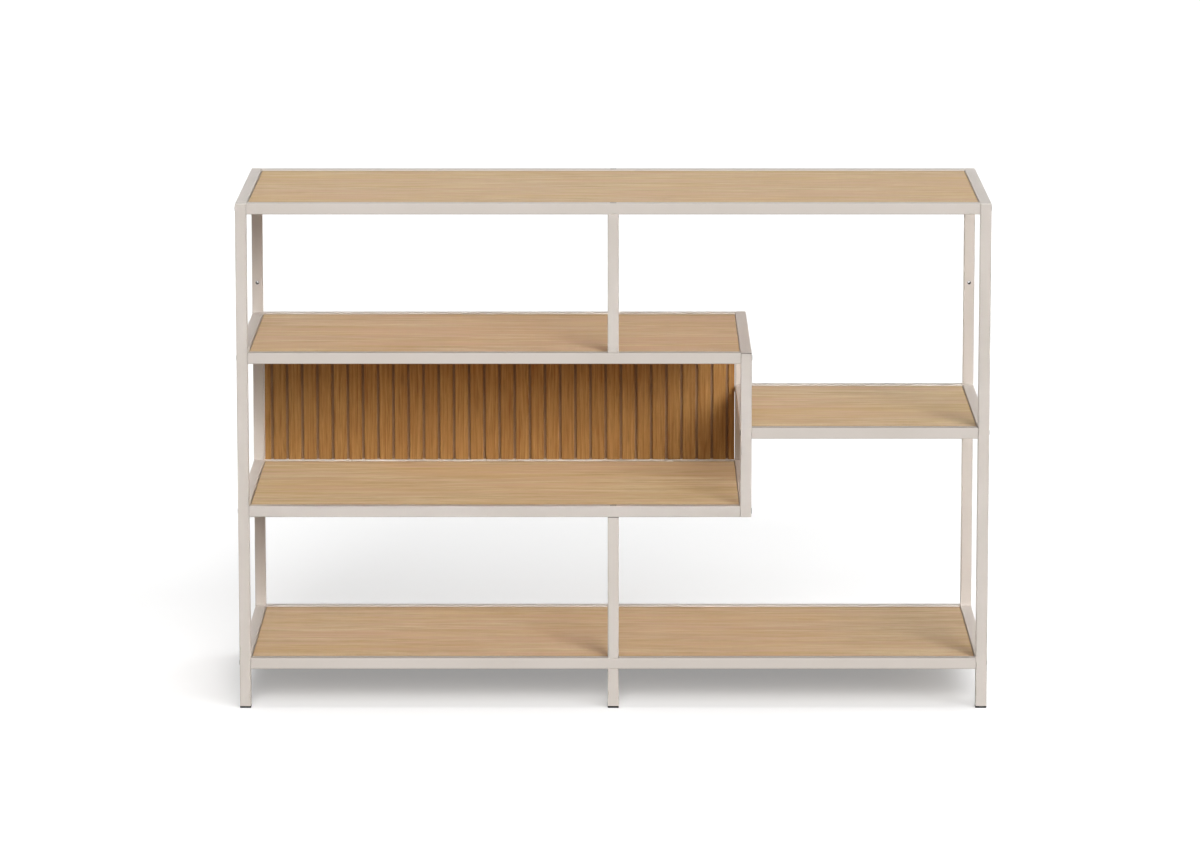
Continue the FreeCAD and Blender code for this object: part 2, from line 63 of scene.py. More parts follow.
FLAT_HEAD_RADIUS = 0.0059
FLAT_HEAD_LIP = 0.00003
FLAT_HEAD_CONE = 0.0022
RIM_GROOVE_RADIUS = 0.0045
RIM_GROOVE_WIDTH = 0.0006
RIM_GROOVE_DEPTH = 0.0005
AXIS_DISTANCE = "distance_from_axis"

# Wood screws
SCREW_HEAD_RADIUS = 0.004
SCREW_HEAD_HEIGHT = 0.0023
SCREW_HEAD_ROUNDING = 2.4
SCREW_RADIUS = 0.002
SCREW_TIP_LENGTH = 0.003
SCREW_TIP_RADIUS = 0.0002
BOARD_SCREW_LENGTH = 0.012
BACK_SCREW_LENGTH = 0.006
CROSS_REACH = 0.0021
CROSS_WIDTH = 0.0005
CROSS_DEPTH = 0.0014
CROSS_FLOOR_SHARE = 0.6

# Fineness of the turned pieces
RING_STEPS = 48
CROWN_RINGS = 7
SHARP_ANGLE = math.radians(32)

# Tabs that hold the boards and the back
TAB_WIDTH = 0.026
TAB_HOLE_FROM_RAIL = 0.011
TAB_COUNTS = {"top": 3, "upper": 3, "lower": 3, "bottom": 3, "right_shelf": 2}
BACK_TAB_COUNT = 3

# Weld beads in the inside corners of the side frames
TUBE_CORNER_RADIUS = 0.0018
BEAD_LEG = 0.0015
BEAD_SINK = 0.0001
BEAD_RIPPLE_PITCH = 0.0021
BEAD_RIPPLE_SHARE = 0.16
BEAD_WANDER_SHARE = 0.12
BEAD_ROUNDING = 1.25
BEAD_END_POWER = 8
BEAD_END_SHARE = 0.9
BEAD_FACE_POINTS = 7
BEAD_STATIONS = 42
BEAD_SEED = 11

# Seams at the long rails' ends and over the lower centre posts
SEAM_WIDTH = 0.0009
CUBBY_REACH = 0.2
POST_SEAM_WIDTH = 0.0016

# Lines along the front edges of mitred corners, a painted highlight at the top corners and a dark joint at the
# cubby's, and the bare rim of painted shade round the wall holes
CORNER_LINE_REACH = 0.0021
WALL_HOLE_SHADE_RIM = 0.0006
INSIDE_MARGIN = 0.0006

# Painted shade in a band along the boards' long edges
SHADE_BAND_WIDTH = 0.017
SHADE_BAND_SHARE = 0.45

# Slats of the back
SLAT_PITCH = 0.02845
FIRST_GROOVE_X = -0.640

# Camera, fitted to the photograph's edges
CAMERA_PLACE = (0.0, -10.7823, 2.3176)
CAMERA_PITCH = 0.16928
CAMERA_LENS = 178.65
CAMERA_SHIFT_X = -0.01103
CAMERA_REACH = 200.0

# Studio floor and sky
FLOOR_HALF_SIZE = 60.0
FLOOR_COLOUR = (0.30, 0.30, 0.30, 1.0)
FLOOR_SEEN_COLOUR = (0.73, 0.73, 0.73, 1.0)
FLOOR_SEEN_GLOW = 0.30
WHITE = (1.0, 1.0, 1.0, 1.0)
SKY_STRENGTH = 0.06

# Lamps: what each one lights, and its side from the front, height above the floor and spread in degrees
LAMPS = {
    "key_lamp": {"lights": "shelf", "side": 20, "height": 20, "spread": 24, "strength": 2.42},
    "left_lamp": {"lights": "side_lit", "side": -90, "height": 12, "spread": 30, "strength": 1.39,
                  "gloss": False},
    "right_lamp": {"lights": "shelf", "side": 90, "height": 35, "spread": 24, "strength": 0.33},
    "rear_lamp": {"lights": "shelf", "side": 180, "height": 3, "spread": 10, "strength": 1.2, "gloss": False},
    "overhead_lamp": {"lights": "side_lit", "side": 0, "height": 80, "spread": 24, "strength": 0.26},
    "overhead_fill": {"lights": "inner", "side": 0, "height": 90, "spread": 24, "strength": 0.74, "shadow": False},
    "board_lamp": {"lights": "boards", "side": 10, "height": 30, "spread": 36, "strength": 1.50, "gloss": False,
                   "blockers": "shading_posts"},
    "board_fill": {"lights": "shaded_boards", "side": 0, "height": 90, "spread": 24, "strength": 0.33,
                   "shadow": False, "colour": (0.65, 0.88, 1.0)},
    "half_fill": {"lights": "half_lit", "side": 0, "height": 90, "spread": 24, "strength": 0.38, "shadow": False},
    "front_fill": {"lights": "front_rails", "side": 0, "height": 0, "spread": 24, "strength": 0.09, "shadow": False},
    "floor_front_lamp": {"lights": "floor", "side": 0, "height": 25, "spread": 24, "strength": 2.1},
    "floor_right_lamp": {"lights": "floor", "side": 30, "height": 30, "spread": 48, "strength": 2.0},
    "floor_overhead_lamp": {"lights": "floor", "side": 0, "height": 90, "spread": 24, "strength": 1.15},
    "floor_rear_lamp": {"lights": "floor", "side": 130, "height": 55, "spread": 24, "strength": 0.58},
}

# Pieces that some of the lamps leave out
FRONT_RAILS = ("upper_front_rail", "right_shelf_front_rail", "lower_front_rail", "bottom_front_rail")
SHADED_PIECES = (*FRONT_RAILS, "cubby_end_rear_post")
HALF_LIT_RAILS = (
    "left_top_side_rail", "right_top_side_rail", "left_upper_side_rail", "left_bottom_side_rail",
    "cubby_end_top_rail", "lower_front_rail", "upper_rear_rail", "right_shelf_rear_rail", "bottom_rear_rail",
)
UNLIFTED_RAILS = ("top_front_rail", "top_rear_rail", *HALF_LIT_RAILS)
BOARDS = ("top_board", "upper_board", "lower_board", "bottom_board", "right_shelf_board")
SHADED_BOARDS = ("lower_board", "right_shelf_board")

# Posts that shade the boards from the boards' own lamp
SHADING_POSTS = ("upper_centre_front_post", "lower_centre_front_post", "right_front_post")

# Colours, as 8-bit display values
COAT_LIGHT = (216, 207, 199)
COAT_DARK = (210, 201, 192)
# Painted highlight on edges that face up, and painted shade on edges that face down
COAT_EDGE_HIGHLIGHT = (229, 222, 215)
COAT_EDGE_SHADE = (190, 180, 171)
COAT_SEAM = (186, 176, 167)
POST_SEAM = (112, 103, 94)
# Painted highlight along the front edge of the top corners
CORNER_HIGHLIGHT = (238, 232, 225)
CORNER_SEAM = (128, 118, 109)
# Bare steel inside the rear posts, darkened as painted shade, and painted shade round their wall holes
BARE_STEEL_AND_SHADE = (58, 54, 51)
# The bolts' coat is a darker copy of the frame's coat, painted shade; their heads' rims get darker painted shade
BOLT_LIGHT = (178, 169, 160)
BOLT_DARK = (168, 159, 150)
HEAD_RIM_SHADE = (56, 52, 49)
# The weld beads' coat is a darker copy of the frame's coat, painted shade in the inside corners
WELD_LIGHT = (178, 167, 157)
WELD_DARK = (158, 147, 137)
OAK_LIGHT = (222, 200, 162)
OAK_DARK = (192, 162, 121)
OAK_PORE = (158, 125, 90)
OAK_EDGE = (222, 197, 154)
OAK_HONEY = (209, 173, 116)
OAK_BLUSH = (209, 173, 144)
# Painted shade along the boards' long edges
OAK_SHADE = (147, 116, 86)
SLAT_LIGHT = (194, 151, 91)
SLAT_DARK = (147, 100, 53)
SLAT_PORE = (103, 66, 33)
BACKING_LIGHT = (162, 130, 101)
BACKING_DARK = (146, 115, 88)
PLASTIC_LIGHT = (15, 15, 16)
PLASTIC_DARK = (10, 10, 11)
ZINC_LIGHT = (205, 206, 208)
ZINC_DARK = (176, 178, 182)

# Share of an edge's painted highlight, on upper edges, or painted shade, on lower ones, that shows on tubes and on
# bolts
TUBE_EDGE_LIGHT_SHARE = 0.6
BOLT_EDGE_LIGHT_SHARE = 0.15

# Share of the mirror-like light that a bare finish would throw back
OAK_GLOSS_SHARE = 0.1
SLAT_GLOSS_SHARE = 0.15
BACKING_GLOSS_SHARE = 0.15
PLASTIC_GLOSS_SHARE = 0.2


def low(node):
    """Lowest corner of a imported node."""
    return np.array(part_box(node)[0])


def high(node):
    """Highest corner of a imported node."""
    return np.array(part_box(node)[1])


def middle(node):
    """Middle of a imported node's box."""
    return (low(node) + high(node)) / 2


# Meshes


def sleeve_mesh(name, surfaces):
    """One mesh of closed sleeves from an array of copies, rings, steps and coordinates.

    Point (i, j) joins (i + 1, j) and (i, j + 1), the steps close on themselves, and one flat face closes the
    first ring and one the last. Seen from the first ring's side, the steps go round to the left.
    """
    copies, rings, steps = surfaces.shape[:3]
    start = np.arange(copies)[:, None, None] * rings * steps
    ring = np.arange(rings - 1)[None, :, None] * steps
    step = np.arange(steps)[None, None, :]
    after = (step + 1) % steps
    corners = (ring + step, ring + steps + step, ring + steps + after, ring + after)
    quads = np.stack([start + corner for corner in corners], axis=-1).reshape(-1, 4)
    first_caps = (start + step).reshape(copies, steps)
    last_caps = (start + (rings - 1) * steps + step[..., ::-1]).reshape(copies, steps)
    faces = quads.tolist() + first_caps.tolist() + last_caps.tolist()
    mesh = bpy.data.meshes.new(name)
    mesh.from_pydata(surfaces.reshape(-1, 3).tolist(), [], faces)
    mesh.polygons.foreach_set("use_smooth", np.ones(len(faces), dtype=bool))
    mesh.set_sharp_from_angle(angle=SHARP_ANGLE)
    return mesh


def add_piece(mesh, material, replaced=()):
    """A new piece of the object, riding on its one body and the nodes it stands for."""
    piece = bpy.data.objects.new(mesh.name, mesh)
    bpy.context.scene.collection.objects.link(piece)
    mesh.materials.append(material)
    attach(piece, "root")
    if replaced:
        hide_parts(*replaced)
    return piece


# Turned shapes

RING_ANGLES = np.linspace(0, 2 * np.pi, RING_STEPS, endpoint=False)


def round_ring(radius):
    """A circle: the same radius at every angle."""
    return np.full(RING_STEPS, radius)


def hexagon_ring(width):
    """A hexagon: half its width across flats, over the cosine of the angle to the nearest flat's middle."""
    sector = np.pi / 3
    from_flat = (RING_ANGLES + sector / 2) % sector - sector / 2
    return width / 2 / np.cos(from_flat)


def cross_ring(reach, width):
    """A cross of two bars: at each angle the longer way out of two boxes, reach by width and width by reach."""
    along = np.maximum(np.abs(np.cos(RING_ANGLES)), np.finfo(float).eps)
    across = np.maximum(np.abs(np.sin(RING_ANGLES)), np.finfo(float).eps)
    first_bar = np.minimum(reach / along, width / across)
    second_bar = np.minimum(width / along, reach / across)
    return np.maximum(first_bar, second_bar)


def crown_rings(inner_radius, radius, height, rounding):
    """Rings of a crowned head on the superellipse (r / radius)^n + (h / height)^n = 1, inner radius first."""
    first = math.asin((inner_radius / radius) ** (rounding / 2))
    turn = np.linspace(first, np.pi / 2, CROWN_RINGS)
    radii = radius * np.sin(turn) ** (2 / rounding)
    heights = height * np.maximum(np.cos(turn), 0) ** (2 / rounding)
    return [(round_ring(r), h) for r, h in zip(radii, heights)]


def turned_surface(rings):
    """Rings about an axis: x = r cos a, y = r sin a and z = h, for each ring's radii r and height h."""
    radii = np.array([ring for ring, _ in rings])
    heights = np.array([height for _, height in rings])[:, None]
    across = radii * np.cos(RING_ANGLES)
    other = radii * np.sin(RING_ANGLES)
    return np.stack([across, other, np.broadcast_to(heights, radii.shape)], axis=-1)


def shank_rings(length):
    """Rings of a bolt's shank, from its head's seat to a chamfered tip."""
    return [
        (round_ring(SHANK_RADIUS), 0),
        (round_ring(SHANK_RADIUS), TIP_CHAMFER - length),
        (round_ring(SHANK_RADIUS - TIP_CHAMFER), -length),
    ]


def socket_rings(height):
    """Rings of a hexagon socket in a head of that height, from its floor to its rounded rim."""
    hexagon = hexagon_ring(SOCKET_WIDTH)
    return [
        (hexagon, height - SOCKET_DEPTH),
        (hexagon, height - SOCKET_RIM),
        (round_ring(hexagon.max() + SOCKET_RIM), height),
    ]


def low_head_bolt(height, length):
    """A bolt with a low crowned head: the socket, the crown, the flat underside and the shank."""
    socket = socket_rings(height)
    rim_radius = socket[-1][0].max()
    crown = crown_rings(rim_radius, LOW_HEAD_RADIUS, height, LOW_HEAD_ROUNDING)
    return turned_surface(socket[:-1] + crown + shank_rings(length))


def flat_head_bolt(length):
    """A bolt with a flat head, level with the tube: the socket, a fine groove near its rim, a cone and the shank."""
    groove_end = RIM_GROOVE_RADIUS + RIM_GROOVE_WIDTH
    rim = [
        (round_ring(RIM_GROOVE_RADIUS), 0),
        (round_ring(RIM_GROOVE_RADIUS), -RIM_GROOVE_DEPTH),
        (round_ring(groove_end), -RIM_GROOVE_DEPTH),
        (round_ring(groove_end), FLAT_HEAD_LIP),
        (round_ring(FLAT_HEAD_RADIUS), FLAT_HEAD_LIP),
        (round_ring(FLAT_HEAD_RADIUS), 0),
        (round_ring(SHANK_RADIUS), -FLAT_HEAD_CONE),
    ]
    return turned_surface(socket_rings(0) + rim + shank_rings(length)[1:])


def wood_screw(length):
    """A wood screw: a pan head with a cross recess that narrows to its floor, a shank and a pointed tip."""
    recess_top = cross_ring(CROSS_REACH, CROSS_WIDTH)
    recess = [
        (CROSS_FLOOR_SHARE * recess_top, SCREW_HEAD_HEIGHT - CROSS_DEPTH),
        (recess_top, SCREW_HEAD_HEIGHT),
    ]
    crown = crown_rings(CROSS_REACH + SOCKET_RIM, SCREW_HEAD_RADIUS, SCREW_HEAD_HEIGHT, SCREW_HEAD_ROUNDING)
    shank = [
        (round_ring(SCREW_RADIUS), 0),
        (round_ring(SCREW_RADIUS), SCREW_TIP_LENGTH - length),
        (round_ring(SCREW_TIP_RADIUS), -length),
    ]
    return turned_surface(recess + crown + shank)


def set_in(shape, seats, axis):
    """Copies of a turned shape, each on its seat, with its heights pointing against the axis it is driven along."""
    outward = -np.array(axis, dtype=float)
    across = np.roll(np.abs(outward), 1)
    basis = np.stack([across, np.cross(outward, across), outward])
    return np.array(seats, dtype=float)[:, None, None, :] + shape @ basis


# Fasteners

TO_RIGHT = (1, 0, 0)
TO_LEFT = (-1, 0, 0)
TO_FRONT = (0, -1, 0)
DOWNWARD = (0, 0, -1)
UPWARD = (0, 0, 1)
SIDES = ("front", "rear")


def rail_end_seats(face_x, shelves):
    """Seats on the posts' faces, level with the middle of each shelf's front and rear rail."""
    rails = [middle(f"{shelf}_{side}_rail") for shelf in shelves for side in SIDES]
    return [(face_x, y, z) for _, y, z in rails]


def centre_seats(shelf, corner):
    """Seats on the top or the underside of a shelf's rails, in line with the centre posts."""
    posts = [middle(f"lower_centre_{side}_post") for side in SIDES]
    return [(x, y, corner(f"{shelf}_front_rail")[2]) for x, y, _ in posts]


def make_bolts(material):
    """The bolts of the side frames, of the cubby's end frame and of the centre posts."""
    left_face = low("left_front_post")[0]
    right_face = high("right_front_post")[0]
    cubby_inside = low("cubby_end_front_post")[0]
    cubby_face = high("cubby_end_front_post")[0]
    length = high("left_frame_bolts")[0] - left_face
    bolt = low_head_bolt(left_face - low("left_frame_bolts")[0], length)
    flat_bolt = flat_head_bolt(length)
    rows = {
        "left_frame_bolts": [(bolt, rail_end_seats(left_face, ("top", "upper", "lower", "bottom")), TO_RIGHT)],
        "right_frame_bolts": [(bolt, rail_end_seats(right_face, ("top", "right_shelf", "bottom")), TO_LEFT)],
        "cubby_end_bolts": [
            (bolt, rail_end_seats(cubby_face, ("upper", "lower")), TO_LEFT),
            (bolt, rail_end_seats(cubby_inside, ("right_shelf",)), TO_RIGHT),
        ],
        "centre_post_bolts": [
            (flat_bolt, centre_seats("top", high), DOWNWARD),
            (flat_bolt, centre_seats("lower", high), DOWNWARD),
            (flat_bolt, centre_seats("upper", low), UPWARD),
        ],
    }
    for node, sets in rows.items():
        surfaces = np.concatenate([set_in(*one_set) for one_set in sets])
        mesh = sleeve_mesh(f"turned_{node}", surfaces)
        from_axis = [np.hypot(shape[..., 0], shape[..., 1]) for shape, seats, _ in sets for _ in seats]
        attribute = mesh.attributes.new(AXIS_DISTANCE, "FLOAT", "POINT")
        attribute.data.foreach_set("value", np.concatenate(from_axis).ravel().astype(np.float32))
        add_piece(mesh, material, [node])


def tab_middles(node, count):
    """Places along a row of tabs, evenly spaced between the first and the last."""
    return np.linspace(low(node)[0] + TAB_WIDTH / 2, high(node)[0] - TAB_WIDTH / 2, count)


def make_screws(material):
    """Wood screws up through the tabs into the boards, and forward through the rear tabs into the back."""
    board_seats = []
    for shelf, count in TAB_COUNTS.items():
        tabs = f"{shelf}_board_tabs"
        lines = (low(tabs)[1] + TAB_HOLE_FROM_RAIL, high(tabs)[1] - TAB_HOLE_FROM_RAIL)
        board_seats += [(x, y, low(tabs)[2]) for x in tab_middles(tabs, count) for y in lines]
    surfaces = set_in(wood_screw(BOARD_SCREW_LENGTH), board_seats, UPWARD)
    add_piece(sleeve_mesh("board_screws", surfaces), material)
    tabs = "back_panel_tabs"
    lines = (low(tabs)[2] + TAB_HOLE_FROM_RAIL, high(tabs)[2] - TAB_HOLE_FROM_RAIL)
    back_seats = [(x, high(tabs)[1], z) for x in tab_middles(tabs, BACK_TAB_COUNT) for z in lines]
    surfaces = set_in(wood_screw(BACK_SCREW_LENGTH), back_seats, TO_FRONT)
    add_piece(sleeve_mesh("back_panel_screws", surfaces), material)


# Weld beads

WELDED_FRAMES = {
    "left": {"left_top_side_rail": (low,), "left_upper_side_rail": (low, high),
             "left_lower_side_rail": (low, high), "left_bottom_side_rail": (low, high)},
    "right": {"right_top_side_rail": (low,), "right_shelf_side_rail": (low, high),
              "right_bottom_side_rail": (low, high)},
    "cubby_end": {"cubby_end_top_rail": (low,), "cubby_end_middle_rail": (low, high),
                  "cubby_end_bottom_rail": (high,)},
}


def inside_corners():
    """The inside corners of each welded frame: a point on the corner line, the way along the post, and the way
    along the rail."""
    rows = []
    for name, rails in WELDED_FRAMES.items():
        posts = ((high(f"{name}_front_post")[1], 1), (low(f"{name}_rear_post")[1], -1))
        for rail, corners in rails.items():
            for corner in corners:
                up = 1 if corner is high else -1
                rows += [((middle(rail)[0], y, corner(rail)[2]), (0, 0, up), (0, inward, 0)) for y, inward in posts]
    return [np.array(column, dtype=float) for column in zip(*rows)]


def bead_surfaces(points, post_ways, rail_ways, length):
    """Weld beads along the corner lines.

    At a distance s along the bead the section is a rounded triangle, with its corner sunk into the joint and
    its face at post_way cos(a)^n + rail_way sin(a)^n for a from 0 to a quarter turn, times a leg that swells
    with each ripple, |cos(pi s / pitch)|, wanders slowly and draws in at both ends.
    """
    draws = np.random.default_rng(BEAD_SEED)
    phase = draws.uniform(0, np.pi, (len(points), 1))
    along = np.linspace(-1, 1, BEAD_STATIONS)[None, :]
    ripple = np.abs(np.cos(np.pi * along * length / 2 / BEAD_RIPPLE_PITCH + phase))
    wander = np.sin(np.pi * along + phase) * np.cos(np.pi * along * phase)
    ends = 1 - BEAD_END_SHARE * np.abs(along) ** BEAD_END_POWER
    leg = BEAD_LEG * (1 + BEAD_RIPPLE_SHARE * ripple + BEAD_WANDER_SHARE * wander) * np.sqrt(ends)
    turn = np.linspace(0, np.pi / 2, BEAD_FACE_POINTS)
    post_part = np.maximum(np.cos(turn), 0) ** BEAD_ROUNDING
    rail_part = np.sin(turn) ** BEAD_ROUNDING
    face = post_part[:, None] * post_ways[:, None, :] + rail_part[:, None] * rail_ways[:, None, :]
    section = leg[:, :, None, None] * face[:, None, :, :]
    corner = np.broadcast_to(-BEAD_SINK * (post_ways + rail_ways)[:, None, None, :], section[:, :, :1].shape)
    path = np.cross(rail_ways, post_ways)[:, None, :] * along[..., None] * length / 2 + points[:, None, :]
    return np.concatenate([section, corner], axis=2) + path[:, :, None, :]


def make_weld_beads(material):
    """Small beads across the width of the tube in the inside corners of the welded side frames."""
    points, post_ways, rail_ways = inside_corners()
    tube = (high("left_front_post") - low("left_front_post"))[0]
    surfaces = bead_surfaces(points, post_ways, rail_ways, tube - 2 * TUBE_CORNER_RADIUS)
    add_piece(sleeve_mesh("weld_beads", surfaces), material)


# Node helpers


def linear(colour):
    """An 8-bit display colour as the linear values that the nodes take."""
    shares = np.array(colour) / 255
    bright = ((shares + 0.055) / 1.055) ** 2.4
    return (*np.where(shares > 0.04045, bright, shares / 12.92), 1.0)


def add_node(tree, kind, inputs, **settings):
    """A node with its settings, and its inputs linked to sockets or set to values."""
    node = tree.nodes.new(f"ShaderNode{kind}")
    for name, setting in settings.items():
        setattr(node, name, setting)
    for key, value in inputs.items():
        if isinstance(value, bpy.types.NodeSocket):
            tree.links.new(value, node.inputs[key])
        else:
            node.inputs[key].default_value = value
    return node


def maths(tree, operation, *values):
    """A sum of one or more values."""
    return add_node(tree, "Math", dict(enumerate(values)), operation=operation).outputs[0]


def vectors(tree, operation, *values):
    """A sum of one or more vectors."""
    return add_node(tree, "VectorMath", dict(enumerate(values)), operation=operation).outputs[0]


def noise(tree, place, stretch, detail, roughness=0.5):
    """Cloudy noise from 0 to 1, with the place stretched along each axis first."""
    stretched = vectors(tree, "MULTIPLY", place, stretch)
    settings = {"Vector": stretched, "Scale": 1, "Detail": detail, "Roughness": roughness}
    return add_node(tree, "TexNoise", settings).outputs[0]


def spread(tree, value, lowest, highest, first=0.0, last=1.0):
    """A value carried from one range to another, held at both ends."""
    ranges = {"Value": value, "From Min": lowest, "From Max": highest, "To Min": first, "To Max": last}
    return add_node(tree, "MapRange", ranges).outputs[0]


def mix_colours(tree, factor, first, second):
    """A colour between two colours."""
    inputs = {"Factor": factor, "A": first, "B": second}
    node = tree.nodes.new("ShaderNodeMix")
    node.data_type = "RGBA"
    sockets = {"Factor": node.inputs[0], "A": node.inputs[6], "B": node.inputs[7]}
    for name, value in inputs.items():
        if isinstance(value, bpy.types.NodeSocket):
            tree.links.new(value, sockets[name])
        else:
            sockets[name].default_value = value
    return node.outputs[2]


def new_group(name, inputs, outputs):
    """An empty node group; inputs and outputs map each socket's name to its type."""
    group = bpy.data.node_groups.new(name, "ShaderNodeTree")
    for socket, kind in inputs.items():
        group.interface.new_socket(socket, in_out="INPUT", socket_type=f"NodeSocket{kind}")
    for socket, kind in outputs.items():
        group.interface.new_socket(socket, in_out="OUTPUT", socket_type=f"NodeSocket{kind}")
    enter = group.nodes.new("NodeGroupInput")
    leave = group.nodes.new("NodeGroupOutput")
    return group, enter.outputs, leave.inputs


def use_group(tree, group, **inputs):
    """A group placed in a material; its outputs by name."""
    node = tree.nodes.new("ShaderNodeGroup")
    node.node_tree = group
    for name, value in inputs.items():
        if isinstance(value, bpy.types.NodeSocket):
            tree.links.new(value, node.inputs[name])
        else:
            node.inputs[name].default_value = value
    return node.outputs


def new_material(name):
    """A material with its Principled BSDF, and the place on the object that its patterns read."""
    material = bpy.data.materials.new(name)
    material.use_nodes = True
    tree = material.node_tree
    shader = tree.nodes["Principled BSDF"]
    place = tree.nodes.new("ShaderNodeTexCoord").outputs["Object"]
    return material, tree, shader, place


def finish_shader(tree, shader, colour, roughness, height, bump_depth, bump_strength):
    """Links a colour, a roughness and a bump height to a shader."""
    bump = add_node(tree, "Bump", {"Height": height, "Distance": bump_depth, "Strength": bump_strength})
    tree.links.new(colour, shader.inputs["Base Color"])
    tree.links.new(roughness, shader.inputs["Roughness"])
    tree.links.new(bump.outputs[0], shader.inputs["Normal"])


# Effects that several finishes share


def make_edge_group():
    """Mask of rounded and bevelled edges: how far the normal is from the nearest of the three axes.

    Up goes from 0 on edges that face down to 1 on those that face up.
    """
    group, _, leave = new_group("rounded_edges", {}, {"Edge": "Float", "Up": "Float"})
    normal = group.nodes.new("ShaderNodeNewGeometry").outputs["Normal"]
    parts = add_node(group, "SeparateXYZ", {0: vectors(group, "ABSOLUTE", normal)}).outputs
    nearest = maths(group, "MAXIMUM", maths(group, "MAXIMUM", parts[0], parts[1]), parts[2])
    group.links.new(spread(group, nearest, 0.99, 0.8), leave["Edge"])
    rise = add_node(group, "SeparateXYZ", {0: normal}).outputs[2]
    group.links.new(spread(group, rise, -0.6, 0.6), leave["Up"])
    return group


def make_coat_group():
    """Sprayed and baked coat: slow clouds of tone, orange peel, and fine grit that breaks up the gloss."""
    outputs = {"Clouds": "Float", "Peel": "Float", "Grit": "Float"}
    group, enter, leave = new_group("sprayed_coat", {"Place": "Vector"}, outputs)
    place = enter["Place"]
    group.links.new(noise(group, place, (7, 7, 7), 3), leave["Clouds"])
    group.links.new(noise(group, place, (900, 900, 900), 2, 0.6), leave["Peel"])
    group.links.new(noise(group, place, (4200, 4200, 4200), 1), leave["Grit"])
    return group


def make_oak_group():
    """Oak with its grain along the first axis: patches, blush, streaks, fibres, figure, flecks and open pores.

    Board is a number that moves the pattern, so that two boards never show the same cut.
    """
    inputs = {"Place": "Vector", "Board": "Float"}
    outputs = dict.fromkeys(("Patches", "Blush", "Streaks", "Fibres", "Figure", "Flecks", "Pores"), "Float")
    group, enter, leave = new_group("oak_grain", inputs, outputs)
    cut = add_node(group, "CombineXYZ", {0: enter["Board"], 1: enter["Board"], 2: enter["Board"]}).outputs[0]
    place = vectors(group, "ADD", enter["Place"], cut)
    sway = maths(group, "SUBTRACT", noise(group, place, (2.6, 11, 11), 2), 0.5)
    bend = add_node(group, "CombineXYZ", {1: maths(group, "MULTIPLY", sway, 0.008)}).outputs[0]
    grain = vectors(group, "ADD", place, bend)
    group.links.new(noise(group, grain, (2.3, 11, 11), 2), leave["Patches"])
    group.links.new(noise(group, grain, (3.2, 44, 44), 3, 0.6), leave["Blush"])
    group.links.new(noise(group, grain, (6.0, 72, 72), 4, 0.6), leave["Streaks"])
    group.links.new(noise(group, grain, (18, 400, 400), 3, 0.65), leave["Fibres"])
    rings = vectors(group, "MULTIPLY", grain, (0.09, 1, 1))
    wave = {"Vector": rings, "Scale": 34, "Distortion": 7, "Detail": 2, "Detail Scale": 1.4}
    figure = add_node(group, "TexWave", wave, bands_direction="Y", wave_profile="SAW")
    group.links.new(figure.outputs[1], leave["Figure"])
    flecks = noise(group, grain, (17, 190, 190), 2)
    group.links.new(spread(group, flecks, 0.58, 0.72), leave["Flecks"])
    pores = noise(group, grain, (85, 2300, 2300), 1)
    group.links.new(spread(group, pores, 0.60, 0.72), leave["Pores"])
    return group


# Finishes


def butt_seams(tree, place):
    """Mask of the fine dark lines at the long rails' ends, where they butt the posts.

    A line is drawn by the distance across the shelf to the outer posts and, at the cubby's heights alone, to
    the two faces of the cubby's end posts.
    """
    parts = add_node(tree, "SeparateXYZ", {0: place}).outputs
    ends = {"outer": [low("right_front_post")[0]], "inner": [low("cubby_end_front_post")[0], high("cubby_end_front_post")[0]]}
    from_outer = maths(tree, "ABSOLUTE", maths(tree, "SUBTRACT", maths(tree, "ABSOLUTE", parts[0]), ends["outer"][0]))
    from_inner = [maths(tree, "ABSOLUTE", maths(tree, "SUBTRACT", parts[0], end)) for end in ends["inner"]]
    lines = [spread(tree, distance, SEAM_WIDTH, SEAM_WIDTH / 2) for distance in (from_outer, *from_inner)]
    from_cubby = maths(tree, "ABSOLUTE", maths(tree, "SUBTRACT", parts[2], middle("cubby_end_middle_rail")[2]))
    in_cubby = maths(tree, "LESS_THAN", from_cubby, CUBBY_REACH)
    inner = maths(tree, "MULTIPLY", maths(tree, "MAXIMUM", lines[1], lines[2]), in_cubby)
    return maths(tree, "MAXIMUM", lines[0], inner)


def post_seam(tree, place):
    """Mask of the dark line at the top end of the lower centre posts, by the height below the rail on them."""
    height = add_node(tree, "SeparateXYZ", {0: place}).outputs[2]
    from_end = maths(tree, "ABSOLUTE", maths(tree, "SUBTRACT", height, low("lower_front_rail")[2]))
    return spread(tree, from_end, POST_SEAM_WIDTH, POST_SEAM_WIDTH / 2)


def distance_to(tree, place, centre, kept):
    """Distance from a centre, along the axes that are kept with a 1."""
    away = vectors(tree, "MULTIPLY", vectors(tree, "SUBTRACT", place, tuple(centre)), kept)
    return add_node(tree, "VectorMath", {0: away}, operation="LENGTH").outputs["Value"]


def corner_line(post):
    """A function that masks the front edge at a post's top, by the distance from that edge's line."""
    edge = (0, low(post)[1], high(post)[2])

    def find_line(tree, place):
        away = distance_to(tree, place, edge, (0, 1, 1))
        return spread(tree, away, CORNER_LINE_REACH, CORNER_LINE_REACH / 2)

    return find_line


